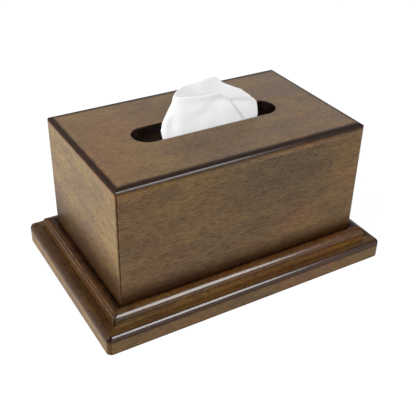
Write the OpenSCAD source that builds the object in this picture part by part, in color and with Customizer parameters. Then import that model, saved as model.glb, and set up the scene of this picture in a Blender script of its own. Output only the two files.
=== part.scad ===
// Wooden tissue box: a plain cover with a long slot stands inside the moulded rim of a wide
// plinth and lifts off it. A slim drawer slides out of the hidden back edge of the plinth.
// Millimetres, +Z up. The origin is the middle of the footprint on the table, and the long
// plain face of the box looks to -Y.

/* [Cover] */
// Length of the cover over its end walls
cover_l = 260; // [210:1:320]
// Width of the cover over its long walls
cover_w = 155.2; // [126:0.1:190]
// Height of the top face above the table
top_h = 148.3; // [120:0.1:185]
// Thickness of the four walls
wall = 10; // [8:0.5:14]
// Thickness of the top board
top_t = 9; // [7:0.5:12]
// Radius rounded over along the top board's upper edge
top_r = 4.5; // [1:0.5:6]
// Radius that eases the upright corners of the cover
arris_r = 3; // [0.5:0.1:4]
// Leg of the triangular glue blocks inside the corners
block_leg = 10; // [6:0.5:12]
// How far the glue blocks stop short of the cover's lower edge
block_short = 22; // [10:1:40]

/* [Slot] */
// Length of the slot in the top board
slot_l = 153; // [120:1:185]
// Width of the slot
slot_w = 30; // [24:1:40]
// Radius that eases the slot's upper edge
slot_ease = 1.2; // [0.5:0.1:2]

/* [Plinth] */
// How far the plinth stands out from the cover's walls
overhang = 23.4; // [18:0.1:32]
// Height of the plinth's wide lower step above the table
base_h = 20.5; // [18:0.1:26]
// Radius rounded over along the lower step, and at its corners
base_r = 5; // [3:0.5:6]
// Width of the upper moulding
mould_w = 11; // [9:0.5:14]
// Height of the upper moulding
mould_h = 10.9; // [9.5:0.1:15]
// Radius of the upper moulding's rounded outer edge
mould_r = 7; // [5:0.5:8]
// Radius that eases the moulding's mitred corners
mould_arris = 1.6; // [0.5:0.1:3]
// Gap all round between the cover and the moulding
mould_gap = 0.8; // [0.5:0.1:1.5]
// Gap under the cover's walls, which stand on the deck
seat_gap = 0.2; // [0.1:0.1:0.5]

/* [Panels] */
// Thickness of the deck panel that the cover stands on
deck_t = 3; // [2.5:0.5:4]
// How far the deck panel is let into the rails
deck_lip = 4; // [3:0.5:6]
// Thickness of the panel under the drawer
under_t = 2; // [1.5:0.5:3]
// How far the under panel is let into the rails
under_lip = 6; // [5:0.5:8]
// How far the under panel lies above the rails' lower face
under_rise = 0.5; // [0:0.1:1]
// Diameter of the small screws' heads
screw_head_d = 5; // [4:0.5:6]
// Diameter of the small screws' shanks
screw_d = 2.4; // [2:0.1:3]
// Length of the small screws
screw_l = 10; // [8:0.5:12]

/* [Felt pads] */
// Diameter of the felt pads
pad_d = 18; // [12:1:22]
// Thickness of the felt pads
pad_t = 1.5; // [1:0.1:3]
// How far the pads lift the rails off the table
pad_rise = 0.5; // [0.3:0.1:0.9]

/* [Drawer] */
// Running gap at each side of the drawer
side_gap = 0.5; // [0.3:0.1:1]
// Running gap above and below the drawer box
high_gap = 0.3; // [0.2:0.1:0.6]
// Thickness of the drawer front
front_t = 18.1; // [15:0.1:20]
// Space between the drawer's back and the front rail
back_gap = 12; // [4:1:30]
// Length of the drawer that stays inside when it is fully open
drawer_hold = 38.5; // [30:0.5:60]
// Thickness of the drawer's sides and back
box_t = 6; // [5:0.5:8]
// Thickness of the drawer's bottom
bottom_t = 2; // [1.5:0.5:3]
// Thickness of the felt lining
lining_t = 1; // [0.5:0.1:1.5]
// How far the drawer front clears the table
front_clear = 1.5; // [1:0.1:3]
// Length of the finger groove in the drawer front's upper face
groove_l = 70; // [50:1:100]
// Width of the finger groove
groove_w = 7.5; // [6:0.5:9]
// Depth of the finger groove
groove_d = 7; // [5:0.5:9]
// Wood left between the finger groove and the outer face
groove_lip = 3.6; // [3:0.1:5]
// Diameter of the brass stop pins
pin_d = 3; // [2:0.5:4]
// How far a stop pin stands out of its rail
pin_out = 2.3; // [1.5:0.1:3]
// How deep a stop pin is set into its rail
pin_in = 8; // [5:0.5:12]
// Distance of the stop pins from the panels' back edge
pin_set = 6; // [5:0.5:12]
// Clearance of a stop pin in its groove
pin_gap = 0.4; // [0.3:0.1:0.8]

/* [Tissues] */
// Space between the carton and the cover's end walls
carton_gap_x = 5; // [4:0.5:10]
// Space between the carton and the cover's long walls
carton_gap_y = 9.6; // [5:0.1:15]
// Space between the carton and the top board
carton_gap_z = 20.8; // [8:0.1:40]
// Thickness of the carton board
board_t = 0.6; // [0.5:0.1:1]
// Gap between the stack of tissues and the carton's walls and top
stack_gap = 1.5; // [1:0.5:4]
// Width of the standing tissue where it leaves the slot
tissue_w = 105; // [80:1:115]
// Rise of the standing tissue above the top board
tissue_rise = 41.7; // [25:0.1:60]
// Thickness of the standing tissue with its folds pressed together
tissue_t = 0.8; // [0.6:0.1:1.2]
// Clearance between the standing tissue and the slot's long edges
tissue_clear = 1.5; // [1:0.1:3]

/* [Hidden] */
$fn = 64;
slack = 1; // how far a cutting shape runs past the face it opens

// Plinth
base_l = cover_l + 2*overhang;
base_w = cover_w + 2*overhang;
rail_w = overhang + wall; // the rails reach in as far as the cover's walls
bay_l = base_l - 2*rail_w; // drawer bay between the side rails
bay_front = -base_w/2 + rail_w; // inner face of the front rail
panel_back = base_w/2 - front_t - high_gap; // both panels end just inside the drawer front
panel_l = bay_l + 2*deck_lip;
under_z = pad_rise + under_rise;
deck_z = base_h - deck_t;
screw_in = under_lip/2; // screws sit in the middle of the rebate
screw_cone = (screw_head_d - screw_d)/2; // height of a 90 degree countersunk head

// Drawer
box_l = bay_l - 2*side_gap;
box_z = under_z + under_t + high_gap;
box_top = deck_z - high_gap;
box_back = bay_front + back_gap;
box_front = base_w/2 - front_t;
travel = box_front - box_back - drawer_hold;
front_top = base_h - high_gap;
pin_y = panel_back - pin_set;
pin_z = (box_z + box_top)/2;
pin_slot = pin_d + 2*pin_gap; // height of the groove in the drawer's sides

// Cover
wall_z = base_h + seat_gap;
wall_top = top_h - top_t;
inner_l = cover_l - 2*wall;
inner_w = cover_w - 2*wall;

// Carton and tissues
carton_l = inner_l - 2*carton_gap_x;
carton_w = inner_w - 2*carton_gap_y;
carton_h = wall_top - carton_gap_z - base_h;
carton_top = base_h + carton_h;
mouth_l = slot_l - 16; // opening in the carton's top, a little shorter than the slot
mouth_w = slot_w + 6;
stack_top = carton_top - board_t - stack_gap;

// Colours of the bare pieces
wood = "#6b4a2b";
end_wood = "#7a5833";
inside_wood = "#a5835a";

// ---- Outlines ----

// Rectangle with rounded corners, as a plan
module rounded_plan(l, w, r) {
  square([l - 2*r, w], center = true);
  square([l, w - 2*r], center = true);
  for (sx = [-1, 1], sy = [-1, 1])
    translate([sx*(l/2 - r), sy*(w/2 - r)]) circle(r);
}

// Slot with round ends, as a plan
module slot_plan(l, w) {
  square([l - w, w], center = true);
  for (sx = [-1, 1]) translate([sx*(l - w)/2, 0]) circle(w/2);
}

// Strip of thickness t along the -Y side of a rectangle, cut at 45 degrees at both ends
module mitre_plan(l, w, t) {
  polygon([[-l/2, -w/2], [l/2, -w/2], [l/2 - t, -w/2 + t], [-l/2 + t, -w/2 + t]]);
}

// Turns what is drawn for the front side (0) to the right (1), the back (2) or the left (3)
module on_side(i) rotate([0, 0, 90*i]) children();

// Length of side i of a rectangle, and its distance across
function along(i, l, w) = i % 2 == 0 ? l : w;
function across(i, l, w) = i % 2 == 0 ? w : l;

// Box between two corners
module block(a, b) translate(a) cube(b - a);

// ---- Cover ----

// One mitred wall with its upright corners eased
module cover_wall(i) {
  color(i == 3 ? end_wood : wood)
    translate([0, 0, wall_z])
      linear_extrude(wall_top - wall_z)
        intersection() {
          rounded_plan(cover_l, cover_w, arris_r);
          on_side(i) mitre_plan(along(i, cover_l, cover_w), across(i, cover_l, cover_w), wall);
        }
}

// Long bar along X whose two upper edges are rounded over
module eased_bar(length, w, h, r) {
  rotate([90, 0, 90])
    linear_extrude(length, center = true) {
      translate([-w/2, 0]) square([w, h - r]);
      translate([-w/2 + r, 0]) square([w - 2*r, h]);
      for (s = [-1, 1]) translate([s*(w/2 - r), h - r]) circle(r);
    }
}

// Cuts the slot and eases its upper edge with a small convex round
module slot_cut() {
  ease_z = top_h - slot_ease;
  translate([0, 0, wall_top - slack])
    linear_extrude(top_t + 2*slack) slot_plan(slot_l, slot_w);
  for (sx = [-1, 1])
    translate([sx*(slot_l - slot_w)/2, 0, ease_z])
      rotate([0, 0, -90*sx])
        rotate_extrude(angle = 180) ease_section(slot_w/2);
  for (s = [0, 180])
    rotate([0, 0, s])
      translate([-(slot_l - slot_w)/2, 0, ease_z])
        rotate([90, 0, 90])
          linear_extrude(slot_l - slot_w) ease_section(slot_w/2);
}

// What the easing takes off, from the slot's wall at distance reach
module ease_section(reach) {
  difference() {
    translate([reach - slack, 0]) square([slot_ease + slack, slot_ease + slack]);
    translate([reach + slot_ease, 0]) circle(slot_ease);
  }
}

module cover_top() {
  color(wood)
    difference() {
      translate([0, 0, wall_top])
        intersection() {
          eased_bar(cover_l, cover_w, top_t, top_r);
          rotate([0, 0, 90]) eased_bar(cover_w, cover_l, top_t, top_r);
          linear_extrude(top_t) rounded_plan(cover_l, cover_w, arris_r);
        }
      slot_cut();
    }
}

// Triangular glue blocks that back the mitres and the top board
module corner_blocks() {
  block_z = wall_z + block_short;
  color(inside_wood)
    for (sx = [-1, 1], sy = [-1, 1])
      translate([sx*inner_l/2, sy*inner_w/2, block_z])
        linear_extrude(wall_top - block_z)
          polygon([[0, 0], [-sx*block_leg, 0], [0, -sy*block_leg]]);
}

// ---- Plinth ----

// Section of the lower step's outer edge, base_r wide
module base_edge() {
  translate([0, pad_rise]) square([base_r, base_h - base_r - pad_rise]);
  intersection() {
    translate([0, base_h - base_r]) circle(base_r);
    translate([0, base_h - base_r]) square(base_r);
  }
}

// The whole lower step before it is parted into rails and drawer front
module base_blank() {
  core_l = base_l - 2*base_r;
  core_w = base_w - 2*base_r;
  block([-core_l/2, -core_w/2, pad_rise], [core_l/2, core_w/2, base_h]);
  for (i = [0:3])
    on_side(i)
      translate([0, -across(i, core_l, core_w)/2, 0])
        rotate([90, 0, -90])
          linear_extrude(along(i, core_l, core_w), center = true) base_edge();
  for (sx = [0, 1], sy = [0, 1])
    mirror([sx, 0, 0]) mirror([0, sy, 0])
      translate([core_l/2, core_w/2, 0]) rotate_extrude(angle = 90) base_edge();
}

// Rebates in the rails for the deck panel and the under panel
module panel_rebates() {
  block([-panel_l/2, bay_front - deck_lip, deck_z], [panel_l/2, base_w/2 + slack, base_h + slack]);
  block([-bay_l/2 - under_lip, bay_front - under_lip, 0],
        [bay_l/2 + under_lip, base_w/2 + slack, under_z + under_t]);
}

// Side rails keep their full section behind the panels, where they flank the drawer front
module rebates_short_of_back() {
  intersection() {
    panel_rebates();
    block([-base_l, -base_w, -slack], [base_l, panel_back, base_h + 2*slack]);
  }
}

module pad_places() {
  inset = rail_w/2;
  for (sx = [-1, 1], sy = [-1, 1])
    translate([sx*(base_l/2 - inset), sy*(base_w/2 - inset), 0]) children();
}

module screw_places() {
  for (part = [-3:2:3])
    translate([part*bay_l/8, bay_front - screw_in, under_z]) children();
  for (sx = [-1, 1], part = [1, 4])
    translate([sx*(bay_l/2 + screw_in), bay_front + part*(panel_back - bay_front)/5, under_z])
      children();
}

// Countersunk screw, head down, point up
module screw(d, l) {
  cylinder(h = screw_cone, d1 = screw_head_d, d2 = d);
  cylinder(h = l, d = d);
}

module pin_places() {
  for (side = [0, 1])
    mirror([side, 0, 0])
      translate([bay_l/2 - pin_out, pin_y, pin_z]) rotate([0, 90, 0]) children();
}

// One rail, cut out of the lower step by its plan and fitted for what it carries
module base_rail(plan) {
  difference() {
    intersection() {
      base_blank();
      linear_extrude(base_h) polygon(plan);
    }
    rebates_short_of_back();
    pad_places() translate([0, 0, -slack]) cylinder(h = pad_t + slack, d = pad_d);
    screw_places() cylinder(h = screw_l, d = screw_d);
    pin_places() cylinder(h = pin_out + pin_in, d = pin_d);
  }
}

function side_rail_plan(s) = [
  [s*base_l/2, -base_w/2], [s*bay_l/2, bay_front], [s*bay_l/2, base_w/2], [s*base_l/2, base_w/2]
];

module base_front_rail() {
  color(wood)
    base_rail([[-base_l/2, -base_w/2], [base_l/2, -base_w/2],
               [bay_l/2, bay_front], [-bay_l/2, bay_front]]);
}

module base_left_rail() color(end_wood) base_rail(side_rail_plan(-1));

module base_right_rail() color(wood) base_rail(side_rail_plan(1));

module deck_panel() {
  color(inside_wood)
    block([-panel_l/2, bay_front - deck_lip, deck_z], [panel_l/2, panel_back, base_h]);
}

module under_panel() {
  color(inside_wood)
    difference() {
      block([-bay_l/2 - under_lip, bay_front - under_lip, under_z],
            [bay_l/2 + under_lip, panel_back, under_z + under_t]);
      screw_places() screw(screw_d, screw_l);
    }
}

module panel_screws() {
  color("silver") screw_places() screw(screw_d, screw_l);
}

module felt_pads() {
  color("#3c3a36") pad_places() cylinder(h = pad_t, d = pad_d);
}

module stop_pins() {
  color("#c9a24b") pin_places() cylinder(h = pin_out + pin_in, d = pin_d);
}

// Section of the upper moulding: x is the distance out from the cover, y the height
module moulding_section() {
  outer = mould_gap + mould_w;
  translate([mould_gap, 0]) square([mould_w, mould_h - mould_r]);
  translate([mould_gap, 0]) square([mould_w - mould_r, mould_h]);
  intersection() {
    translate([outer - mould_r, mould_h - mould_r]) circle(mould_r);
    translate([outer - mould_r, mould_h - mould_r]) square(mould_r);
  }
}

// One mitred length of the upper moulding, lying on the lower step
module moulding(i) {
  ring_l = cover_l + 2*(mould_gap + mould_w);
  ring_w = cover_w + 2*(mould_gap + mould_w);
  color(i == 3 ? end_wood : wood)
    translate([0, 0, base_h])
      intersection() {
        on_side(i)
          translate([0, -across(i, cover_l, cover_w)/2, 0])
            rotate([90, 0, -90])
              linear_extrude(along(i, ring_l, ring_w), center = true) moulding_section();
        linear_extrude(mould_h)
          intersection() {
            rounded_plan(ring_l, ring_w, mould_arris);
            on_side(i) mitre_plan(along(i, ring_l, ring_w), across(i, ring_l, ring_w), mould_w);
          }
      }
}

// ---- Drawer ----

// The back length of the lower step, with a finger groove sunk into its upper face
module drawer_front() {
  groove_y = base_w/2 - groove_lip - groove_w/2;
  color(wood)
    difference() {
      intersection() {
        base_blank();
        block([-box_l/2, box_front, front_clear], [box_l/2, base_w/2, front_top]);
      }
      translate([0, groove_y, front_top - groove_d])
        linear_extrude(groove_d + slack) slot_plan(groove_l, groove_w);
    }
}

// Side with the stopped groove that the pin runs in: it ends where the drawer is fully open
module drawer_side(s) {
  slot_depth = pin_out - side_gap + pin_gap;
  color(inside_wood)
    difference() {
      block([s > 0 ? box_l/2 - box_t : -box_l/2, box_back, box_z],
            [s > 0 ? box_l/2 : -box_l/2 + box_t, box_front, box_top]);
      translate([s*(box_l/2 - slot_depth), pin_y, pin_z])
        rotate([0, s*90, 0])
          linear_extrude(slot_depth + slack)
            translate([0, -travel/2]) rotate([0, 0, 90]) slot_plan(travel + pin_slot, pin_slot);
    }
}

module drawer_left_side() drawer_side(-1);

module drawer_right_side() drawer_side(1);

module drawer_back() {
  color(inside_wood)
    block([-box_l/2 + box_t, box_back, box_z], [box_l/2 - box_t, box_back + box_t, box_top]);
}

module drawer_bottom() {
  color(inside_wood)
    block([-box_l/2 + box_t, box_back + box_t, box_z],
          [box_l/2 - box_t, box_front, box_z + bottom_t]);
}

module drawer_lining() {
  color("#5a1f24")
    block([-box_l/2 + box_t, box_back + box_t, box_z + bottom_t],
          [box_l/2 - box_t, box_front, box_z + bottom_t + lining_t]);
}

// ---- Carton and tissues ----

module tissue_carton() {
  color("#b08d62")
    difference() {
      block([-carton_l/2, -carton_w/2, base_h], [carton_l/2, carton_w/2, carton_top]);
      block([-carton_l/2 + board_t, -carton_w/2 + board_t, base_h + board_t],
            [carton_l/2 - board_t, carton_w/2 - board_t, carton_top - board_t]);
      translate([0, 0, stack_top]) linear_extrude(carton_top) slot_plan(mouth_l, mouth_w);
    }
}

module tissue_stack() {
  inset = board_t + stack_gap;
  color("#f4f2ee")
    translate([0, 0, base_h + board_t])
      linear_extrude(stack_top - base_h - board_t)
        square([carton_l - 2*inset, carton_w - 2*inset], center = true);
}

// The standing tissue is one sheet wrapped into a flat loop, with a fold at its left and its
// right and its two free edges meeting at a seam in front. A point of it is given by p, from the
// free edge right of the seam (0) round the right fold, the back and the left fold to the other
// free edge (1), and by t, from its foot on the stack (0) to its upper edge (1).
half_gap = slot_w/2 - tissue_clear - tissue_t/2;
ripple = 1.1; // height of the soft ripples across the sheet
open = 7.6; // half the distance between the front and the back layer
tissue_y = -half_gap + open + ripple; // the front layer stands close to the slot's front edge
tissue_x = 2.8; // middle of the sheet where it leaves the slot
foot_z = stack_top + 0.3;
gather = 0.3; // share by which the sheet is narrower at its foot
crease_x = -12.8; // where the long slanting crease of the front layer starts
crease_h = 0.52;
steps_right = 7; // columns from the seam to the right fold
steps_back = 22; // columns across the back
steps_p = 44;
steps_t = 12;

// Heights are shares of the rise above the top board, and distances along the slot are shares
// of the tissue's width, from its middle for the folds and from its left fold for the edges
left_fold = [[0.05, -0.5], [0.25, -0.485], [0.55, -0.42], [0.68, -0.39], [0.78, -0.385], [1, -0.33]];
right_fold = [[0, 0.5], [0.21, 0.48]];
seam = [[-0.76, 0.9], [-0.22, 0.86], [0, 0.79], [0.35, 0.71], [0.54, 0.63], [0.66, 0.59]];
front_edge = [[0, 0.82], [0.3, 0.77], [0.48, 0.77], [0.62, 0.6], [0.77, 0.55], [0.88, 0.44], [1, 0.21]];
back_edge = [[0, 0.82], [0.05, 0.9], [0.2, 0.94], [0.41, 1], [0.51, 0.97], [0.62, 0.8], [0.71, 0.7],
             [0.85, 0.57], [0.95, 0.38], [1, 0.21]];
seam_h = 0.55; // the free edges meet from here upward

function smooth(x) = let (c = min(1, max(0, x))) c*c*(3 - 2*c);
function rise_share(z) = (z - top_h)/tissue_rise;
// Share of the way from the left fold to the right one, at an angle round the loop
function across_share(a) = (1 - cos(a))/2;
function at_back(a) = a > 180 && a < 360;
// Angle round the loop: the right fold is at 180 degrees, the left one at 360, and the seam
// lies between 90 and 180
function loop_angle(p, h) =
  let (at = acos(1 - 2*lookup(h, seam)), gap = 0.4 + 4.2*max(0, seam_h - h))
  lookup(p, [[0, at + gap], [steps_right/steps_p, 180],
             [(steps_right + steps_back)/steps_p, 360], [1, 360 + at - gap]]);
function edge_z(p) =
  let (a = loop_angle(p, 1))
  top_h + tissue_rise*lookup(across_share(a), at_back(a) ? back_edge : front_edge);
function tissue_point(p, t) =
  let (
    edge = edge_z(p),
    z = foot_z + (edge - foot_z)*t,
    h = rise_share(z),
    a = loop_angle(p, h),
    q = across_share(a),
    bow = pow(abs(sin(a)), 0.75),
    wide = tissue_w*(1 - gather*(1 - smooth((z - foot_z)/(wall_top - foot_z)))),
    left = tissue_x + wide*lookup(h, left_fold),
    right = tissue_x + wide*lookup(h, right_fold),
    x = left + (right - left)*q,
    below_crease = (x - crease_x)*cos(61) - (h - crease_h)*tissue_rise*sin(61),
    roll = 2.6*exp(-pow((edge - z - 7.5)/4.5, 2)),
    hollow = 1.6*smooth(below_crease/9)*smooth(3*h)*smooth((0.62 - q)*8),
    wave = ripple*sin(970*q + 3.4*(z - foot_z))*smooth((z - foot_z)/33)
  )
  [x, tissue_y - open*sign(sin(a))*bow + bow*(at_back(a) ? wave : roll + hollow + 0.4*wave), z];
function tissue_normal(p, t) =
  let (d = 0.004, a = tissue_point(p + d, t) - tissue_point(p - d, t),
       b = tissue_point(p, t + d) - tissue_point(p, t - d), n = cross(a, b))
  n/norm(n);

module pop_up_tissue() {
  rows = steps_t + 1;
  side = (steps_p + 1)*rows;
  points = [
    for (s = [1, -1], i = [0:steps_p], j = [0:steps_t])
      let (p = i/steps_p, t = pow(j/steps_t, 0.8))
        tissue_point(p, t) + s*tissue_t/2*tissue_normal(p, t)
  ];
  faces = [
    for (i = [0:steps_p - 1], j = [0:steps_t - 1])
      let (a = i*rows + j, b = a + rows)
        each [[a, b + 1, b], [a, a + 1, b + 1],
              [side + a, side + b, side + b + 1], [side + a, side + b + 1, side + a + 1]],
    for (i = [0:steps_p - 1], j = [0, steps_t])
      let (a = i*rows + j, b = a + rows)
        each j == 0
          ? [[a, b, side + b], [a, side + b, side + a]]
          : [[a, side + b, b], [a, side + a, side + b]],
    for (j = [0:steps_t - 1], i = [0, steps_p])
      let (a = i*rows + j, b = a + 1)
        each i == 0
          ? [[a, side + b, b], [a, side + a, side + b]]
          : [[a, b, side + b], [a, side + b, side + a]]
  ];
  color("white") polyhedron(points, faces);
}

base_front_rail();
base_left_rail();
base_right_rail();
under_panel();
deck_panel();
moulding(0);  // moulding_front
moulding(1);  // moulding_right
moulding(2);  // moulding_back
moulding(3);  // moulding_left
felt_pads();
panel_screws();
stop_pins();
cover_wall(0);  // cover_front_wall
cover_wall(1);  // cover_right_wall
cover_wall(2);  // cover_back_wall
cover_wall(3);  // cover_left_wall
cover_top();
corner_blocks();
drawer_front();
drawer_left_side();
drawer_right_side();
drawer_back();
drawer_bottom();
drawer_lining();
tissue_carton();
tissue_stack();
pop_up_tissue();
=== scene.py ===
"""A stained wooden tissue box: a lift-off cover with a long slot stands in a moulded plinth,
and a slim drawer slides out of the plinth's back edge. Metres, +Z up; the materials and the
points of the meshes are worked out in millimetres."""
import math

import bpy
import numpy as np
from mathutils import Matrix, Vector


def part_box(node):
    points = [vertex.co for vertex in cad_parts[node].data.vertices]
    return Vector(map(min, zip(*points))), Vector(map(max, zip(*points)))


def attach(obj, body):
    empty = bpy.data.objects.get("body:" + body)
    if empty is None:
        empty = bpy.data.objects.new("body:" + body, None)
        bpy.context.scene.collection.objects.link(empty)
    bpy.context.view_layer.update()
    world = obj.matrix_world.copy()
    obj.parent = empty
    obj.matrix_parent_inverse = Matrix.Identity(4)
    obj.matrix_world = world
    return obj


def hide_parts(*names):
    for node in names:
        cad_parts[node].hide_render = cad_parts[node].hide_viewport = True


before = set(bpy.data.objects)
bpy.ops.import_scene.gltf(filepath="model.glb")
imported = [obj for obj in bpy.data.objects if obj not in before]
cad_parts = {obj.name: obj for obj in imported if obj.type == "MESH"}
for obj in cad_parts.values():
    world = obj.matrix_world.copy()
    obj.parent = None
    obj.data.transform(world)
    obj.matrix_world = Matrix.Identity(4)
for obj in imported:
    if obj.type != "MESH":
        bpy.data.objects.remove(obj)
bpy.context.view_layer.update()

MM = 0.001


# ---- Places and sizes, in millimetres ----

def corners(node):
    """Lowest and highest corner of a CAD node, in millimetres."""
    return [np.array(corner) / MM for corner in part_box(node)]


COVER_LOW, COVER_TOP = corners("cover_top")
RAIL_LOW, RAIL_TOP = corners("base_left_rail")
MOULD_LOW, MOULD_TOP = corners("moulding_left")
STACK_LOW, STACK_TOP = corners("tissue_stack")
PAD_LOW, PAD_TOP = corners("felt_pads")
LINING_LOW, LINING_TOP = corners("drawer_lining")

# Half the cover's length and width
HALF_L = COVER_TOP[0]
HALF_W = COVER_TOP[1]
# Heights of the upper faces: cover, its walls, plinth and moulding
TOP_Z = COVER_TOP[2]
WALL_TOP_Z = COVER_LOW[2]
BASE_Z = RAIL_TOP[2]
MOULD_Z = MOULD_TOP[2]
# How far the plinth and its moulding stand out from the cover
BASE_OUT = -RAIL_LOW[0] - HALF_L
MOULD_OUT = -MOULD_LOW[0] - HALF_L
# Sizes that the boxes of the nodes don't show; SLOT_STRAIGHT is half of the slot's straight part
MOULD_ROUND = 7.0
BASE_ROUND = 5.0
SLOT_RADIUS = 15.0
SLOT_STRAIGHT = 61.5


# ---- Shader toolkit ----

class Value:
    """A socket of a finish. Python's operators on a number socket add Math nodes."""

    def __init__(self, finish, socket):
        self.finish = finish
        self.socket = socket

    def maths(self, operation, *operands):
        return self.finish.node("ShaderNodeMath", {"operation": operation}, dict(enumerate(operands)))

    def __add__(self, other):
        return self.maths("ADD", self, other)

    def __radd__(self, other):
        return self.maths("ADD", other, self)

    def __sub__(self, other):
        return self.maths("SUBTRACT", self, other)

    def __rsub__(self, other):
        return self.maths("SUBTRACT", other, self)

    def __mul__(self, other):
        return self.maths("MULTIPLY", self, other)

    def __rmul__(self, other):
        return self.maths("MULTIPLY", other, self)

    def __abs__(self):
        return self.maths("ABSOLUTE", self)

    def __pow__(self, other):
        return self.maths("POWER", self, other)

    def least(self, other):
        return self.maths("MINIMUM", self, other)

    def most(self, other):
        return self.maths("MAXIMUM", self, other)

    def angle_from(self, other):
        """The angle, in radians, whose sine is to its cosine as this value to the other."""
        return self.maths("ARCTAN2", self, other)

    def output(self, name):
        return Value(self.finish, self.socket.node.outputs[name])


class Finish:
    """A material made of nodes, worked out in millimetres in the object's own frame."""

    def __init__(self, name):
        self.material = bpy.data.materials.new(name)
        self.material.use_nodes = True
        self.tree = self.material.node_tree
        self.tree.nodes.clear()
        place = self.node("ShaderNodeTexCoord", {}, {}, "Object")
        self.place = self.node("ShaderNodeVectorMath", {"operation": "SCALE"}, {0: place, "Scale": 1 / MM})
        split = self.node("ShaderNodeSeparateXYZ", {}, {0: self.place})
        self.x = split
        self.y = split.output("Y")
        self.z = split.output("Z")

    def node(self, kind, settings, values, output=0):
        """Adds a node: its settings first, then a value or a link for each of its sockets."""
        made = self.tree.nodes.new(kind)
        for key, setting in settings.items():
            setattr(made, key, setting)
        by_identifier = {socket.identifier: socket for socket in made.inputs}
        for key, value in values.items():
            socket = by_identifier.get(key) or made.inputs[key]
            if isinstance(value, Value):
                self.tree.links.new(value.socket, socket)
            elif socket.type == "RGBA":
                socket.default_value = (*value, 1)
            else:
                socket.default_value = value
        outputs = {socket.identifier: socket for socket in made.outputs}
        return Value(self, outputs[output] if output in outputs else made.outputs[output])

    def noise(self, stretch, detail=3.0, seed=0.0, roughness=0.5, distortion=0.0):
        """Noise from 0 to 1 whose features are about stretch = (x, y, z) millimetres long."""
        scaled = self.node("ShaderNodeVectorMath", {"operation": "MULTIPLY_ADD"}, {
            0: self.place, 1: [1 / s for s in stretch], 2: (seed, 1.7 * seed, 0.6 * seed)})
        return self.node("ShaderNodeTexNoise", {}, {
            "Vector": scaled, "Scale": 1.0, "Detail": detail, "Roughness": roughness,
            "Distortion": distortion})

    def fade(self, value, low, high, to_low=0.0, to_high=1.0):
        """Goes smoothly from to_low at low to to_high at high, and stays there beyond."""
        return self.node("ShaderNodeMapRange", {"interpolation_type": "SMOOTHSTEP"}, {
            "Value": value, "From Min": low, "From Max": high, "To Min": to_low, "To Max": to_high})

    def band(self, value, start, full, still, end):
        """Rises from start to full, stays 1, and falls from still to end."""
        return self.fade(value, start, full) * self.fade(value, still, end, 1.0, 0.0)

    def blend(self, factor, first, second, kind="MIX"):
        return self.node("ShaderNodeMix", {"data_type": "RGBA", "blend_type": kind}, {
            "Factor_Float": factor, "A_Color": first, "B_Color": second}, "Result_Color")

    def bump(self, height, depth, normal=None):
        """A bump whose height is depth millimetres where the value is 1."""
        sockets = {"Height": height, "Distance": depth * MM, "Strength": 1.0}
        if normal is not None:
            sockets["Normal"] = normal
        return self.node("ShaderNodeBump", {}, sockets)

    def spot(self, centre, radius):
        """1 round a point of the surface, fading to 0 at radius."""
        distance = self.node("ShaderNodeVectorMath", {"operation": "DISTANCE"}, {
            0: self.place, 1: centre}, "Value")
        core = 0.3 * radius
        return self.fade(distance, core, radius, 1.0, 0.0)

    def surface(self, **sockets):
        """Ends the material in a Principled shader with these sockets, spaces written as _."""
        values = {key.replace("_", " "): value for key, value in sockets.items()}
        shader = self.node("ShaderNodeBsdfPrincipled", {}, values)
        out = self.tree.nodes.new("ShaderNodeOutputMaterial")
        self.tree.links.new(shader.socket, out.inputs["Surface"])


def dress(piece, material):
    """Puts one material into every material slot of a piece."""
    if not piece.material_slots:
        piece.data.materials.append(material)
    for material_slot in piece.material_slots:
        material_slot.material = material


# ---- Antique glaze and painted shade on the wood ----

# How strong the glaze and the painted shade are where they look black
BLACK = 0.97
# Degrees round the moulding at which fine paler lines run on the short sides
PALE_LINE_ANGLES = (36, 60, 84)
# Height of the paler line at the foot of the moulding on the long sides, above the plinth
PALE_FOOT_LINE = 2.2


def out_from_cover(f):
    """Distance outward from the cover's walls, all round."""
    return (abs(f.x) - HALF_L).most(abs(f.y) - HALF_W)


def off_mitre(f):
    """Distance from the nearest mitre, measured along the side."""
    return abs((abs(f.x) - HALF_L) - (abs(f.y) - HALF_W))


def round_angle(f, out, edge_out, edge_z, radius):
    """Degrees round a rounded edge: 0 at its flat top, 90 where it meets its upright face."""
    beyond = out - (edge_out - radius)
    above = f.z - (edge_z - radius)
    return beyond.angle_from(above) * (180 / math.pi)


def long_side(f):
    """1 beside the long walls and 0 beside the short ones, changing at the mitres."""
    return f.fade((abs(f.y) - HALF_W) - (abs(f.x) - HALF_L), -1.2, 1.2)


def by_side(beside_long, at_long, at_short):
    """One number beside the long walls and another beside the short ones."""
    return beside_long * (at_long - at_short) + at_short


def slot_wall(f):
    """1 on the wall inside the slot and 0 on the faces round it."""
    beyond = (abs(f.x) - SLOT_STRAIGHT).most(0.0)
    apart = (beyond * beyond + f.y * f.y) ** 0.5 - SLOT_RADIUS
    return f.fade(apart, 0.3, 1.1, 1.0, 0.0) * f.fade(f.z, WALL_TOP_Z - 2.0, WALL_TOP_Z - 1.0)


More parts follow.
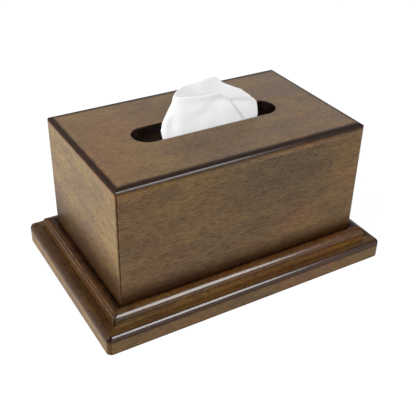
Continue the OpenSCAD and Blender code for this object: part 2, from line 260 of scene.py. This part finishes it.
def cover_glaze_and_shade(f, drift):
    """Glaze, painted shade and polish of the cover.

    The glaze lies on its upper edge and upright corners. Painted shade darkens the walls above the moulding
    and makes the wall inside the slot near black. The polish lies along the long upper edges, and thinly on
    the short walls beside their corners."""
    out = out_from_cover(f)
    beside_long = long_side(f)
    past_edge = out + TOP_Z - f.z
    wavering = past_edge + drift * 1.6
    rim = f.fade(wavering, by_side(beside_long, -9.2, -7.0), by_side(beside_long, -4.8, -3.5))
    rim = rim * f.fade(wavering, by_side(beside_long, 1.0, 1.8), by_side(beside_long, 7.0, 3.8), 0.93, 0.0)
    corner = f.fade(off_mitre(f) + drift * 1.6, 1.0, 2.4, 0.95, 0.0) * f.fade(out, -3.0, -1.0) * beside_long
    # low: painted shade on the walls above the moulding, darkest at their foot
    above_moulding = f.z + drift * 5 - MOULD_Z
    reach = by_side(beside_long, 22, 62)
    low = f.fade(above_moulding, 1, reach, by_side(beside_long, 0.78, 0.84), 0.0)
    edge_polish = f.band(past_edge, -3.6, -1.8, 0.0, 1.5) * beside_long
    beside_corner = f.band(abs(f.y) - HALF_W, -4.8, -3.4, -1.0, 0.0) * (1 - beside_long)
    polish = edge_polish.most(beside_corner * f.fade(past_edge, 5, 8) * 0.25)
    # slot_wall(f) * 0.98 is painted shade that makes the wall inside the slot near black
    return rim.most(corner).most(low).most(slot_wall(f) * 0.98), polish


def moulding_glaze_and_shade(f, drift):
    """Glaze, painted shade and polish of the moulding.

    The glaze covers it all: black on the mitred corners and thin at the foot, with fine paler lines along
    the round of the short sides and the foot of the long ones. Painted shade makes it black beside the
    cover."""
    out = out_from_cover(f)
    beside_long = long_side(f)
    # body: painted shade makes it black beside the cover, where it meets the cover's wall
    body = f.fade(out + drift * 0.6, 2.0, 5.2, BLACK, by_side(beside_long, 0.60, 0.82))
    foot = f.fade(f.z + drift, BASE_Z + 0.6, BASE_Z + 4.5, by_side(beside_long, 0.35, 0.75), 1.0)
    corner = f.fade(off_mitre(f) + drift, 0.5, 3.4, BLACK, 0.0) * f.fade(out, 4.0, 9.0)
    angle = round_angle(f, out, MOULD_OUT, MOULD_Z, MOULD_ROUND)
    polish = f.band(angle, 20, 40, 75, 90) * (1 - corner) * by_side(beside_long, 0.8, 0.1)
    scuffed = angle + drift * 8
    first, second, third = (abs(scuffed - pale_angle) for pale_angle in PALE_LINE_ANGLES)
    round_lines = f.fade(first.least(second).least(third), 1.0, 5.0, 0.75, 0.0) * (1 - beside_long)
    foot_line = f.fade(abs(f.z + drift - BASE_Z - PALE_FOOT_LINE), 0.1, 0.7, 0.6, 0.0) * beside_long
    pale_lines = round_lines.most(foot_line) * f.fade(drift, -0.12, 0.1, 0.4, 1.0)
    return ((body + drift * 0.25) * foot * (1 - pale_lines)).most(corner), polish


def plinth_glaze(f, drift):
    """Glaze and polish of the plinth.

    The glaze lies on its upper face and round, black at its corners; the plinth is also darker along its
    lower edge."""
    out = out_from_cover(f)
    beside_long = long_side(f)
    upper_face = f.fade(f.z, BASE_Z - 1.5, BASE_Z - 0.4)
    near_moulding = by_side(beside_long, 0.12, 0.72)
    near_edge = by_side(beside_long, 0.50, 0.70)
    flat = f.fade(out + drift, MOULD_OUT + 0.8, MOULD_OUT + 3.6, near_moulding, near_edge) * upper_face
    angle = round_angle(f, out, BASE_OUT, BASE_Z, BASE_ROUND)
    shoulder = f.band(angle + drift * 14, 4, 30, 94, 130) * 0.8
    along_x = abs(f.x) - (HALF_L + BASE_OUT - BASE_ROUND)
    along_y = abs(f.y) - (HALF_W + BASE_OUT - BASE_ROUND)
    corner_angle = along_x.most(0.01).angle_from(along_y.most(0.01))
    corner = f.band(corner_angle + drift * 0.2, 0.05, 0.35, 1.15, 1.45)
    corner = corner * f.fade(out, BASE_OUT - 5.0, BASE_OUT - 2.4)
    corner = corner * f.fade(f.z, BASE_Z - 8, BASE_Z - 4, 0.6, 1.0)
    low = f.fade(f.z + drift, 0.6, 2.6, 0.5, 0.12)
    polish = f.band(angle, 20, 40, 75, 95) * (1 - corner) * by_side(beside_long, 1.0, 0.2)
    return flat.most(shoulder).most(corner * BLACK).most(low), polish


# ---- Wood ----

OLIVE = (0.104, 0.060, 0.0162)
GREEN_OLIVE = (0.103, 0.066, 0.0165)
AMBER = (0.128, 0.061, 0.0135)
RED_BROWN = (0.116, 0.052, 0.0215)
GREY_BROWN = (0.085, 0.0525, 0.0235)
DARK_BROWN = (0.058, 0.038, 0.019)
WARM_BROWN = (0.080, 0.050, 0.024)
SPECK_BLACK = (0.006, 0.003, 0.002)

# Patches that differ from the wood about them, as (centre, radius, colour, share)
MOULDING_SPECK = ((-8.7, -88.6, 27.4), 0.9, SPECK_BLACK, 1.0)
TOP_SPECK = ((-9.6, -54.3, TOP_Z), 0.8, SPECK_BLACK, 1.0)
REDDISH_PATCH = ((52, -HALF_W, 70), 30, RED_BROWN, 0.5)
DARK_PATCH = ((35, -HALF_W, 140), 95, DARK_BROWN, 0.85)
DARK_TOP_PATCH = ((-10, -50, TOP_Z), 75, WARM_BROWN, 0.8)


def stretched(along, length, width):
    """The size of a feature that is long along one axis and narrow across it."""
    return [length if axis == along else width for axis in "xyz"]


def stained_wood(name, along, seed, glaze_and_shade, stain=OLIVE, warmth=0.5, lean=0.0, gloss=0.3, level=1.0,
                 contrast=1.0, patches=()):
    """Semi-gloss stained wood with its grain along one axis, darkened by an antique glaze and by painted
    shade.

    warmth moves the colour from grey through the stain to red and amber, and lean moves it from grey to the
    stain along the box's length. gloss is the weight of the lacquer, level how light the stain is, set per
    piece partly as painted shade and light, and contrast how strongly the grain shows."""
    f = Finish(name)
    drift = f.noise((9, 9, 9), 2.0, seed + 3.1) - 0.5
    cloud = f.noise(stretched(along, 55, 22), 3.0, seed, 0.55, 0.5)
    figure = f.noise(stretched(along, 26, 7), 3.0, seed + 11, 0.55, 0.8)
    grain = f.noise(stretched(along, 14, 3.2), 3.0, seed + 17, 0.55, 0.5)
    fibre = f.noise(stretched(along, 7, 1.1), 3.0, seed + 23, 0.65)
    pore = f.noise(stretched(along, 5, 0.8), 2.0, seed + 37, 0.6)
    olive = f.fade(cloud * 0.8 + f.x * lean + (warmth - 0.5) * 0.3, 0.2, 0.6)
    tone = f.blend(olive, GREY_BROWN, stain)
    red = f.fade(f.noise(stretched(along, 70, 34), 1.0, seed + 51), 0.42, 0.7) * (0.8 * warmth)
    tone = f.blend(red, tone, RED_BROWN)
    amber = f.fade(f.noise(stretched(along, 40, 18), 1.0, seed + 61), 0.46, 0.74) * (warmth * warmth)
    tone = f.blend(amber, tone, AMBER)
    for centre, radius, colour, share in patches:
        tone = f.blend(f.spot(centre, radius) * share, tone, colour)
    # dark carries the piece's glaze together with its painted shade
    dark, polish = glaze_and_shade(f, drift)
    light = ((cloud * 0.7 + figure * 0.38 + grain * 0.5 + fibre * 1.7 - 1.64) * contrast + 1.03) * level
    light = light * f.fade(pore, 0.54, 0.66, 1.0, 1 - 0.55 * contrast)
    shade = light * (1 - dark * 0.96)
    tone = f.blend(1.0, tone, f.node("ShaderNodeCombineColor", {}, {
        0: shade, 1: shade ** 1.25, 2: shade ** 1.5}), "MULTIPLY")
    waves = f.bump(f.noise((14, 14, 14), 2.0, seed + 70), 0.05)
    normal = f.bump(fibre * 0.6 + pore * 0.4, 0.02, waves)
    f.surface(Base_Color=tone, Roughness=0.34 + fibre * 0.14 + cloud * 0.06, Normal=normal, IOR=1.36,
              Specular_IOR_Level=0.12, Coat_IOR=1.5, Coat_Roughness=0.16,
              Coat_Weight=gloss * (1 - dark * 0.85) + polish * (1 - gloss))
    return f.material


def dress_stained_wood():
    """Gives each stained node its own grain direction, seed, glaze and painted shade, and settings."""
    finishes = {
        # Levels under 1, lowest on the front and top pieces, and over 1 on the plinth's left rail are
        # partly painted shade and light: one stain made darker or lighter on those faces
        "cover_front_wall": ("x", 1.0, cover_glaze_and_shade, {
            "warmth": 0.3, "lean": 0.0008, "gloss": 0.26, "level": 0.855, "contrast": 0.85,
            "patches": (REDDISH_PATCH, DARK_PATCH)}),
        "cover_back_wall": ("x", 8.0, cover_glaze_and_shade, {"warmth": 0.3, "gloss": 0.28, "contrast": 0.8}),
        "cover_left_wall": ("y", 15.0, cover_glaze_and_shade, {
            "stain": GREEN_OLIVE, "warmth": 0.3, "gloss": 0.2, "level": 0.985}),
        "cover_right_wall": ("y", 22.0, cover_glaze_and_shade, {"stain": GREEN_OLIVE, "warmth": 0.3, "gloss": 0.25}),
        "cover_top": ("x", 29.0, cover_glaze_and_shade, {
            "warmth": 0.6, "lean": -0.0015, "gloss": 0.39, "level": 0.865,
            "patches": (DARK_TOP_PATCH, TOP_SPECK)}),
        "moulding_front": ("x", 36.0, moulding_glaze_and_shade, {
            "warmth": 0.9, "lean": 0.002, "gloss": 0.33, "patches": (MOULDING_SPECK,)}),
        "moulding_back": ("x", 43.0, moulding_glaze_and_shade, {"warmth": 0.8, "gloss": 0.33}),
        "moulding_left": ("y", 50.0, moulding_glaze_and_shade, {"warmth": 0.6, "gloss": 0.2}),
        "moulding_right": ("y", 57.0, moulding_glaze_and_shade, {"warmth": 0.6, "gloss": 0.2}),
        "base_front_rail": ("x", 64.0, plinth_glaze, {
            "warmth": 0.7, "lean": 0.0004, "gloss": 0.3, "level": 0.855, "contrast": 0.8}),
        "base_left_rail": ("y", 71.0, plinth_glaze, {
            "stain": GREEN_OLIVE, "warmth": 0.5, "gloss": 0.13, "level": 1.04}),
        "base_right_rail": ("y", 78.0, plinth_glaze, {"warmth": 0.6, "gloss": 0.2}),
        "drawer_front": ("x", 85.0, plinth_glaze, {"warmth": 0.6, "gloss": 0.3, "contrast": 0.8}),
    }
    for node, (along, seed, glaze_and_shade, settings) in finishes.items():
        dress(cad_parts[node], stained_wood("stained_" + node, along, seed, glaze_and_shade, **settings))


def bare_wood(name, along, seed):
    """Pale bare wood for the inside, with straight grain along one axis."""
    f = Finish(name)
    band = f.noise(stretched(along, 120, 6), 3.0, seed, 0.5, 0.4)
    fibre = f.noise(stretched(along, 14, 0.7), 4.0, seed + 5)
    pore = f.noise(stretched(along, 4, 0.35), 2.0, seed + 9)
    tone = f.blend(f.fade(band, 0.35, 0.68), (0.34, 0.215, 0.115), (0.47, 0.325, 0.19))
    tone = f.blend(f.fade(fibre, 0.45, 0.75) * 0.4, tone, (0.26, 0.155, 0.08))
    tone = f.blend(f.fade(pore, 0.6, 0.72) * 0.5, tone, (0.16, 0.09, 0.045))
    f.surface(Base_Color=tone, Roughness=0.52 + fibre * 0.16, Normal=f.bump(fibre, 0.05))
    return f.material


def dress_bare_wood():
    """Gives each bare node wood whose grain runs along its length."""
    grain = {
        "under_panel": "x", "deck_panel": "x", "corner_blocks": "z", "drawer_left_side": "y",
        "drawer_right_side": "y", "drawer_back": "x", "drawer_bottom": "x",
    }
    for number, (node, along) in enumerate(grain.items()):
        dress(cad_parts[node], bare_wood("bare_" + node, along, 3.0 * number))


# ---- Metal and board ----

def zinc_steel():
    """Zinc-plated steel with a faint patchy bloom."""
    f = Finish("zinc_plated_steel")
    patch = f.noise((1.6, 1.6, 1.6), 3.0, 2.0)
    tone = f.blend(patch, (0.50, 0.50, 0.48), (0.66, 0.65, 0.60))
    f.surface(Base_Color=tone, Metallic=1.0, Roughness=0.28 + patch * 0.2,
              Normal=f.bump(f.noise((0.4, 0.4, 0.4), 2.0, 4.0), 0.01))
    return f.material


def plain_brass():
    """Drawn brass with fine marks along its length."""
    f = Finish("plain_brass")
    drawn = f.noise((6, 0.25, 0.25), 3.0, 5.0)
    tone = f.blend(drawn, (0.60, 0.42, 0.15), (0.72, 0.53, 0.22))
    f.surface(Base_Color=tone, Metallic=1.0, Roughness=0.24 + drawn * 0.18,
              Normal=f.bump(drawn, 0.01))
    return f.material


def carton_board():
    """Plain brown carton board with pressed fibres."""
    f = Finish("carton_board")
    cloud = f.noise((22, 22, 22), 4.0, 1.0)
    fibre = f.noise((3.0, 1.2, 1.2), 4.0, 6.0, 0.6)
    tone = f.blend(cloud, (0.27, 0.175, 0.10), (0.35, 0.24, 0.145))
    tone = f.blend(f.fade(fibre, 0.52, 0.72) * 0.35, tone, (0.17, 0.105, 0.06))
    tone = f.blend(f.fade(fibre, 0.28, 0.45, 0.3, 0.0), tone, (0.45, 0.34, 0.22))
    f.surface(Base_Color=tone, Roughness=0.82, Normal=f.bump(fibre, 0.03))
    return f.material


# ---- Felt and paper ----

def felt(name, dark, light, seed):
    """Dense felt: matted hairs in two shades, with a faint sheen."""
    f = Finish(name)
    mat = f.noise((0.7, 0.7, 0.7), 5.0, seed, 0.7, 1.5)
    patch = f.noise((9, 9, 9), 3.0, seed + 4)
    tone = f.blend(f.fade(mat, 0.3, 0.7), dark, light)
    tone = f.blend(patch * 0.25, tone, dark)
    f.surface(Base_Color=tone, Roughness=0.95, Specular_IOR_Level=0.1, Sheen_Weight=0.05,
              Sheen_Roughness=0.5, Normal=f.bump(mat, 0.12))
    return f.material


def tissue_paper(name, seed, shade, painted_glow):
    """Soft white tissue with pressed fibres and a faint embossed crepe.

    painted_glow is an even painted glow that lifts the paper's shade, in place of the light that passes
    through a thin sheet, and shade is how much of the light that falls on the paper it throws back."""
    f = Finish(name)
    fibre = f.noise((1.1, 1.1, 0.5), 4.0, seed, 0.65)
    crepe = f.noise((5.0, 5.0, 0.32), 2.0, seed + 3)
    low = 0.94 * shade
    high = 1.03 * shade
    tone = f.blend(f.fade(fibre, 0.3, 0.7), (low, low, 1.02 * low), (high, high, 1.02 * high))
    f.surface(Base_Color=tone, Roughness=0.92, Specular_IOR_Level=0.2, Emission_Color=(1, 1, 1),
              Emission_Strength=painted_glow, Normal=f.bump(crepe * 0.6 + fibre * 0.4, 0.035))
    return f.material


# ---- Meshes ----

def add_mesh(name, points, faces, smooth=True):
    """A piece made of points in millimetres and faces."""
    mesh = bpy.data.meshes.new(name)
    mesh.from_pydata([tuple(point * MM) for point in np.asarray(points, float)], [], faces)
    mesh.polygons.foreach_set("use_smooth", [smooth] * len(mesh.polygons))
    mesh.update()
    piece = bpy.data.objects.new(name, mesh)
    bpy.context.scene.collection.objects.link(piece)
    return piece


def grid_faces(rows, columns, closed=False):
    """Quads of a grid whose points run row by row; closed joins each row's ends."""
    faces = []
    for row in range(rows - 1):
        for column in range(columns if closed else columns - 1):
            a = row * columns + column
            b = row * columns + (column + 1) % columns
            faces.append((a, b, b + columns, a + columns))
    return faces


def ring_faces(first, rings, around):
    """Faces of a closed body made of rings of points, whose first point has the number first."""
    faces = [tuple(first + i for i in quad) for quad in grid_faces(rings, around, closed=True)]
    faces.append(tuple(first + i for i in reversed(range(around))))
    last_ring = first + (rings - 1) * around
    faces.append(tuple(last_ring + i for i in range(around)))
    return faces


# ---- Standing tissue ----

# Half the loop's depth, the place of its middle and the thickness of the paper
TISSUE_OPEN = 7.6
TISSUE_Y = -4.4
TISSUE_THICK = 0.3
# The sheet's foot stands just clear of the stack
FOOT_Z = STACK_TOP[2] + 0.3
# Height from which the gap along the seam stays at its narrowest
SEAM_TOP = 171.0

# The sheet's two folds, left and right, as (height, x)
LEFT_FOLD = [(116.7, -36), (139, -47.5), (150, -49.8), (158, -48.3), (165, -44.8), (171, -41.5),
             (176, -38.6), (181, -37.6), (190, -31.8)]
RIGHT_FOLD = [(116.7, 38), (139, 54), (146, 55.3), (152, 54.6), (157, 53.3)]
# The seam where its two free edges meet in front, as (height, share of the way to the right)
SEAM = [(116.7, 0.9), (139, 0.86), (146.7, 0.805), (155.6, 0.762), (162.9, 0.708), (171, 0.626),
        (176, 0.59)]
# Upper edges of the front and the rear layer, as (share of the way to the right, height)
FRONT_EDGE = [(0, 182.5), (0.14, 181.6), (0.27, 180.5), (0.41, 180.3), (0.48, 180.4), (0.55, 177),
              (0.625, 173.4), (0.77, 171.2), (0.884, 166.5), (0.967, 160), (1, 157)]
REAR_EDGE = [(0, 185), (0.055, 186.1), (0.137, 187), (0.22, 187.7), (0.327, 189.1), (0.418, 189.6),
             (0.516, 188.6), (0.575, 185.3), (0.62, 181.6), (0.712, 177.5), (0.845, 171.9), (0.952, 164.1),
             (1, 157)]
# How strongly the front layer is turned in under its edge, as (share of the way to the right, factor)
TURNED_IN = [(0, 0.15), (0.35, 0.5), (0.5, 1), (0.85, 0.8), (1, 0.1)]


def along_line(value, line):
    """Reads a line of (place, result) pairs at a place."""
    places, results = zip(*line)
    return np.interp(value, places, results)


def smooth_step(value):
    """0 below 0, 1 above 1 and smooth between them."""
    share = np.clip(value, 0, 1)
    return share * share * (3 - 2 * share)


def swell(value, centre, width):
    """A smooth swelling of height 1 about its centre."""
    return np.exp(-((value - centre) / width) ** 2)


def share_at(angle):
    """Share of the way from the left fold to the right one, at an angle round the loop."""
    return (1 - np.cos(angle)) / 2


def angle_at(share):
    """The angle round the loop at a share of the way from the left fold to the right one."""
    return np.arccos(1 - 2 * share)


def front_relief(across, x, z, below):
    """How far the front layer stands in from a smooth curve, across being the share of the way to
    the right and below the distance under its edge."""
    turned_in = 2.3 * swell(below, 7.5, 4.5) - 0.6 * swell(below, 0, 3)
    past_crease = (x + 12.8) * 0.487 - (z - 169.9) * 0.873
    crease = 1.6 * smooth_step(past_crease / 9) * smooth_step((z - 152) / 14)
    crease = crease * smooth_step((0.62 - across) / 0.12)
    hollow = 1.7 * swell(x, -41, 4) * swell(z, 157, 8)
    bulge = 0.7 * swell(x, -33, 5) * swell(z, 160, 12)
    return along_line(across, TURNED_IN) * turned_in + crease + hollow - bulge


def tissue_point(part, share, rise):
    """A point of the sheet: rise runs from its foot to its upper edge, share across one part."""
    rear = part == "rear"
    seam_angle = angle_at(SEAM[-1][1])
    if rear:
        edge_angle = np.pi * (1 - share)
    elif part == "left":
        edge_angle = share * seam_angle
    else:
        edge_angle = seam_angle + share * (np.pi - seam_angle)
    edge = along_line(share_at(edge_angle), REAR_EDGE if rear else FRONT_EDGE)
    z = FOOT_Z + (edge - FOOT_Z) * rise
    left = along_line(z, LEFT_FOLD)
    width = along_line(z, RIGHT_FOLD) - left
    seam = along_line(z, SEAM)
    half_gap = 1.9 * np.clip((SEAM_TOP - z) / 24, 0, 1.2) + 0.25
    if rear:
        angle = edge_angle
    elif part == "left":
        angle = share * angle_at(seam - half_gap / width)
    else:
        start = angle_at(seam + half_gap / width)
        angle = start + share * (np.pi - start)
    across = share_at(angle)
    x = left + width * across
    side = 1 if rear else -1
    y = TISSUE_Y + side * TISSUE_OPEN * np.sin(angle) ** 0.75
    if rear:
        y += 1.1 * np.sin(across * 17 + z * 0.06) * smooth_step((z - 125) / 25) * np.sin(angle) ** 0.5
    else:
        y += front_relief(across, x, z, edge - z)
    ripple = 0.45 * np.sin(across * 29 + side * z * 0.09) * smooth_step((168 - z) / 30)
    y += ripple * np.abs(np.sin(angle))
    return x, y, z


def standing_tissue():
    """The sheet in the slot: one loop from the seam in front round the right, the rear and the left."""
    rows = 44
    columns = [("right", 0.0)]
    for part, steps in (("right", 26), ("rear", 70), ("left", 44)):
        columns += [(part, step / steps) for step in range(1, steps + 1)]
    points = []
    for row in range(rows):
        for part, share in columns:
            points.append(tissue_point(part, share, row / (rows - 1)))
    piece = add_mesh("standing_tissue", points, grid_faces(rows, len(columns)))
    thick = piece.modifiers.new("Paper", "SOLIDIFY")
    thick.thickness = TISSUE_THICK * MM
    thick.offset = 0.0
    # The standing sheet glows: painted light that lifts its shade
    dress(piece, tissue_paper("standing_tissue_paper", 2.0, shade=0.22, painted_glow=0.46))
    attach(piece, "plinth")
    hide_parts("pop_up_tissue")


# ---- Stack of folded tissues ----

# Section through the edge of a leaf, as (inset, share of its thickness)
LEAF_SECTION = [(1.6, 0.04), (0.5, 0.16), (0.0, 0.5), (0.5, 0.84), (1.6, 0.96)]


def folded_stack():
    """Interfolded tissues: thin leaves with rounded edges, each a little out of line."""
    draw = np.random.default_rng(7)
    leaves = 44
    around = 64
    corner_pull = 3.0
    corner_spread = 18
    pitch = (STACK_TOP[2] - STACK_LOW[2]) / leaves
    half = (STACK_TOP[:2] - STACK_LOW[:2]) / 2
    turn = np.linspace(0, 2 * np.pi, around, endpoint=False)
    circle = np.stack([np.cos(turn), np.sin(turn)], axis=1)
    square = circle / np.abs(circle).max(axis=1, keepdims=True)
    points, faces = [], []
    for leaf in range(leaves):
        shift = draw.uniform(-0.5, 0.0, 4)[:2]
        phase = draw.uniform(0, 2 * np.pi)
        low = STACK_LOW[2] + pitch * leaf
        wave = 0.18 * np.sin(5 * turn + phase)
        faces += ring_faces(len(points), len(LEAF_SECTION), around)
        for inset, height in LEAF_SECTION:
            reach = half - inset + shift
            flat = square * reach
            from_corner = ((np.abs(flat) - reach) ** 2).sum(axis=1)
            pull = corner_pull * np.exp(-from_corner / corner_spread)
            flat = flat - np.sign(flat) * pull[:, None] * 0.3
            for (px, py), lift in zip(flat, wave):
                z = np.clip(low + pitch * height + lift * pitch * 0.6, STACK_LOW[2], STACK_TOP[2])
                points.append((px, py, z))
    piece = add_mesh("folded_tissues", points, faces)
    dress(piece, tissue_paper("folded_tissue_paper", 9.0, shade=0.72, painted_glow=0.0))
    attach(piece, "plinth")
    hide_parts("tissue_stack")


# ---- Felt pieces ----

# Section through a felt disc from its lower to its upper face, as (share of radius, share of height)
DISC_SECTION = [(0.6, 0.0), (0.955, 0.0), (1.0, 0.22), (1.0, 0.78), (0.955, 1.0), (0.6, 1.0)]


def felt_feet():
    """Four punched felt discs with soft, slightly uneven rims."""
    draw = np.random.default_rng(11)
    around = 72
    radius = 9.0
    height = PAD_TOP[2] - PAD_LOW[2]
    turn = np.linspace(0, 2 * np.pi, around, endpoint=False)
    points, faces = [], []
    for sx in (-1, 1):
        for sy in (-1, 1):
            middle_x = sx * (PAD_TOP[0] - radius)
            middle_y = sy * (PAD_TOP[1] - radius)
            uneven = 1 - 0.012 * draw.random(around)
            faces += ring_faces(len(points), len(DISC_SECTION), around)
            for share, lift in DISC_SECTION:
                z = PAD_LOW[2] + height * lift
                for angle, rim in zip(turn, uneven):
                    reach = radius * share * rim
                    points.append((middle_x + reach * np.cos(angle), middle_y + reach * np.sin(angle), z))
    piece = add_mesh("felt_feet", points, faces)
    dress(piece, felt("dark_felt", (0.030, 0.027, 0.024), (0.085, 0.078, 0.070), 3.0))
    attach(piece, "plinth")
    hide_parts("felt_pads")


def drawer_felt():
    """The felt laid in the drawer, cut a little short of its sides, lying not quite flat."""
    columns, rows = 60, 40
    margin = 0.4
    low = LINING_LOW + (margin, margin, 0)
    high = LINING_TOP - (margin, margin, 0)
    span = high - low
    points = []
    for level in (0, 1):
        for row in range(rows):
            for column in range(columns):
                share_x = column / (columns - 1)
                share_y = row / (rows - 1)
                x = low[0] + span[0] * share_x
                y = low[1] + span[1] * share_y
                to_rim = min(min(share_x, 1 - share_x) * span[0], min(share_y, 1 - share_y) * span[1])
                wave = 0.12 * math.sin(x * 0.11) * math.sin(y * 0.13)
                rim_drop = 0.35 * math.exp(-to_rim / 0.8)
                top = span[2] * (0.80 + wave * 0.8) * (1 - rim_drop)
                points.append((x, y, low[2] + level * top))
    layer = rows * columns
    faces = [tuple(reversed(quad)) for quad in grid_faces(rows, columns)]
    faces += [tuple(layer + i for i in quad) for quad in grid_faces(rows, columns)]
    edge = list(range(columns))
    edge += [row * columns + columns - 1 for row in range(1, rows)]
    edge += [(rows - 1) * columns + i for i in range(columns - 2, -1, -1)]
    edge += [row * columns for row in range(rows - 2, 0, -1)]
    for a, b in zip(edge, edge[1:] + edge[:1]):
        faces.append((a, b, layer + b, layer + a))
    piece = add_mesh("drawer_felt", points, faces)
    dress(piece, felt("wine_red_felt", (0.050, 0.008, 0.010), (0.125, 0.022, 0.026), 8.0))
    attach(piece, "drawer")
    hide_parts("drawer_lining")


# ---- Stage ----

def softbox(name, place, aim, width, height, power):
    """A rectangular light at a place, turned to face its aim."""
    light = bpy.data.lights.new(name, "AREA")
    light.shape = "RECTANGLE"
    light.size = width
    light.size_y = height
    light.energy = power
    lamp = bpy.data.objects.new(name, light)
    bpy.context.scene.collection.objects.link(lamp)
    lamp.location = place
    lamp.rotation_euler = (Vector(place) - Vector(aim)).to_track_quat("Z", "Y").to_euler()


def white_room(near, far):
    """White light all round, of strength near on the camera's side and far behind the box."""
    world = bpy.data.worlds.new("studio")
    world.use_nodes = True
    bpy.context.scene.world = world
    nodes, links = world.node_tree.nodes, world.node_tree.links
    direction = nodes.new("ShaderNodeSeparateXYZ")
    links.new(nodes.new("ShaderNodeTexCoord").outputs["Generated"], direction.inputs[0])
    strength = nodes.new("ShaderNodeMapRange")
    strength.interpolation_type = "SMOOTHSTEP"
    for name, value in {"From Min": -0.1, "From Max": 0.6, "To Min": near, "To Max": far}.items():
        strength.inputs[name].default_value = value
    links.new(direction.outputs["Y"], strength.inputs["Value"])
    links.new(strength.outputs["Result"], nodes["Background"].inputs["Strength"])
    nodes["Background"].inputs["Color"].default_value = (1, 1, 1, 1)


def pale_floor():
    """A wide pale floor just under the feet, with an even glow in place of a lit sweep."""
    reach = 6.0 / MM
    z = -0.2
    corner = [(-reach, -reach, z), (reach, -reach, z), (reach, reach, z), (-reach, reach, z)]
    floor = add_mesh("floor", corner, [(0, 1, 2, 3)], smooth=False)
    f = Finish("pale_floor")
    tone = f.blend(f.noise((60, 60, 60), 2.0, 1.0), (0.09, 0.09, 0.09), (0.11, 0.11, 0.11))
    f.surface(Base_Color=tone, Roughness=0.9, Specular_IOR_Level=0.0, Emission_Color=(1, 1, 1),
              Emission_Strength=0.9)
    dress(floor, f.material)


def camera():
    """The photograph's viewpoint, from the perspective of the box's straight edges."""
    azimuth = math.radians(-31.42)
    elevation = math.radians(33.02)
    roll = math.radians(1.61)
    distance = 0.7459
    target = Vector((0.00485, 0.0, 0.04746))
    back = Vector((math.sin(azimuth) * math.cos(elevation), -math.cos(azimuth) * math.cos(elevation),
                   math.sin(elevation)))
    across = Vector((0, 0, 1)).cross(back).normalized()
    up = back.cross(across)
    right = across * math.cos(roll) + up * math.sin(roll)
    upright = up * math.cos(roll) - across * math.sin(roll)
    lens = bpy.data.cameras.new("camera")
    lens.sensor_width = 36.0
    lens.lens = 62.907
    lens.clip_start = 0.01
    eye = bpy.data.objects.new("camera", lens)
    bpy.context.scene.collection.objects.link(eye)
    turned = Matrix((right, upright, back)).transposed().to_4x4()
    eye.matrix_world = Matrix.Translation(target + back * distance) @ turned
    bpy.context.scene.camera = eye


def stage():
    """Sets up the picture: its camera, floor, room and two softboxes."""
    bpy.context.scene.view_settings.view_transform = "Standard"
    camera()
    pale_floor()
    white_room(near=0.3, far=1.0)
    softbox("front_softbox", place=(0.50, -1.215, 0.90), aim=(0.0, -0.05, 0.08),
            width=0.62, height=0.90, power=25.0)
    softbox("left_key", place=(-1.53, -0.18, 0.73), aim=(0.0, 0.0, 0.08),
            width=0.9, height=0.9, power=64.0)


stage()
dress_stained_wood()
dress_bare_wood()
dress(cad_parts["panel_screws"], zinc_steel())
dress(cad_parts["stop_pins"], plain_brass())
dress(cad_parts["tissue_carton"], carton_board())
standing_tissue()
folded_stack()
felt_feet()
drawer_felt()
